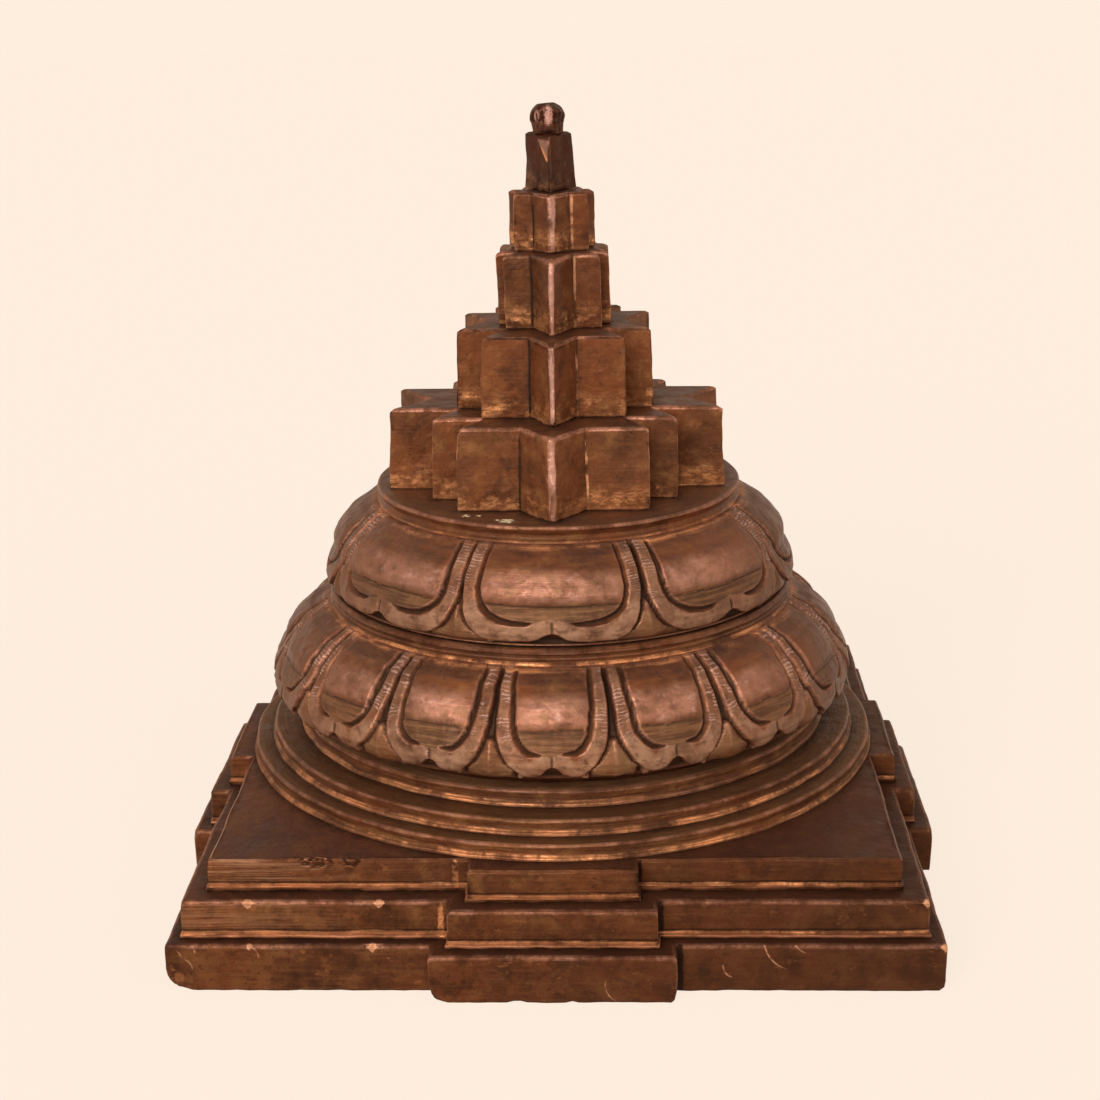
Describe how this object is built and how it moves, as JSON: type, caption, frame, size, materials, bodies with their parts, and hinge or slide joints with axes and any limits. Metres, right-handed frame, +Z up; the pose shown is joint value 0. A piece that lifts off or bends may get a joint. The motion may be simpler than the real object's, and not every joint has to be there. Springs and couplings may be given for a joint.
{
  "type": "shri yantra",
  "caption": "Stepped meru shri yantra in patinated cast copper: gated square steps, girdles, two lotus rings, star tiers and a ball on top.",
  "frame": {"origin": "middle of the base, on the plane that it stands on", "axes": "+Z up along the tie rod; -Y is the front, where the front point of the fourteen-corner star and the ridge of the triangle tier face; +X to the viewer's right"},
  "size_m": [0.3182, 0.3182, 0.3227],
  "materials": {
    "patinated_copper": "dark antique-brown patina over copper, burnished on edges and on the swell of the petals, bright copper left in inner corners",
    "steel": "plain mild steel rod, nut and washer"
  },
  "bodies": {
    "root": {"bhupura_lower_step": "patinated_copper", "bhupura_middle_step": "patinated_copper", "bhupura_upper_step": "patinated_copper", "girdle_lower_ring": "patinated_copper", "girdle_middle_ring": "patinated_copper", "girdle_upper_ring": "patinated_copper", "lotus_sixteen_petals": "patinated_copper", "lotus_foot_band": "patinated_copper", "lotus_eight_petals": "patinated_copper", "crown_disc": "patinated_copper", "star_fourteen_corners": "patinated_copper", "star_outer_ten_corners": "patinated_copper", "star_inner_ten_corners": "patinated_copper", "star_eight_corners": "patinated_copper", "star_triangle": "patinated_copper", "bindu_finial": "patinated_copper", "base_plate": "patinated_copper", "tie_rod": "steel", "base_washer": "steel", "base_nut": "steel"}
  },
  "joints": []
}
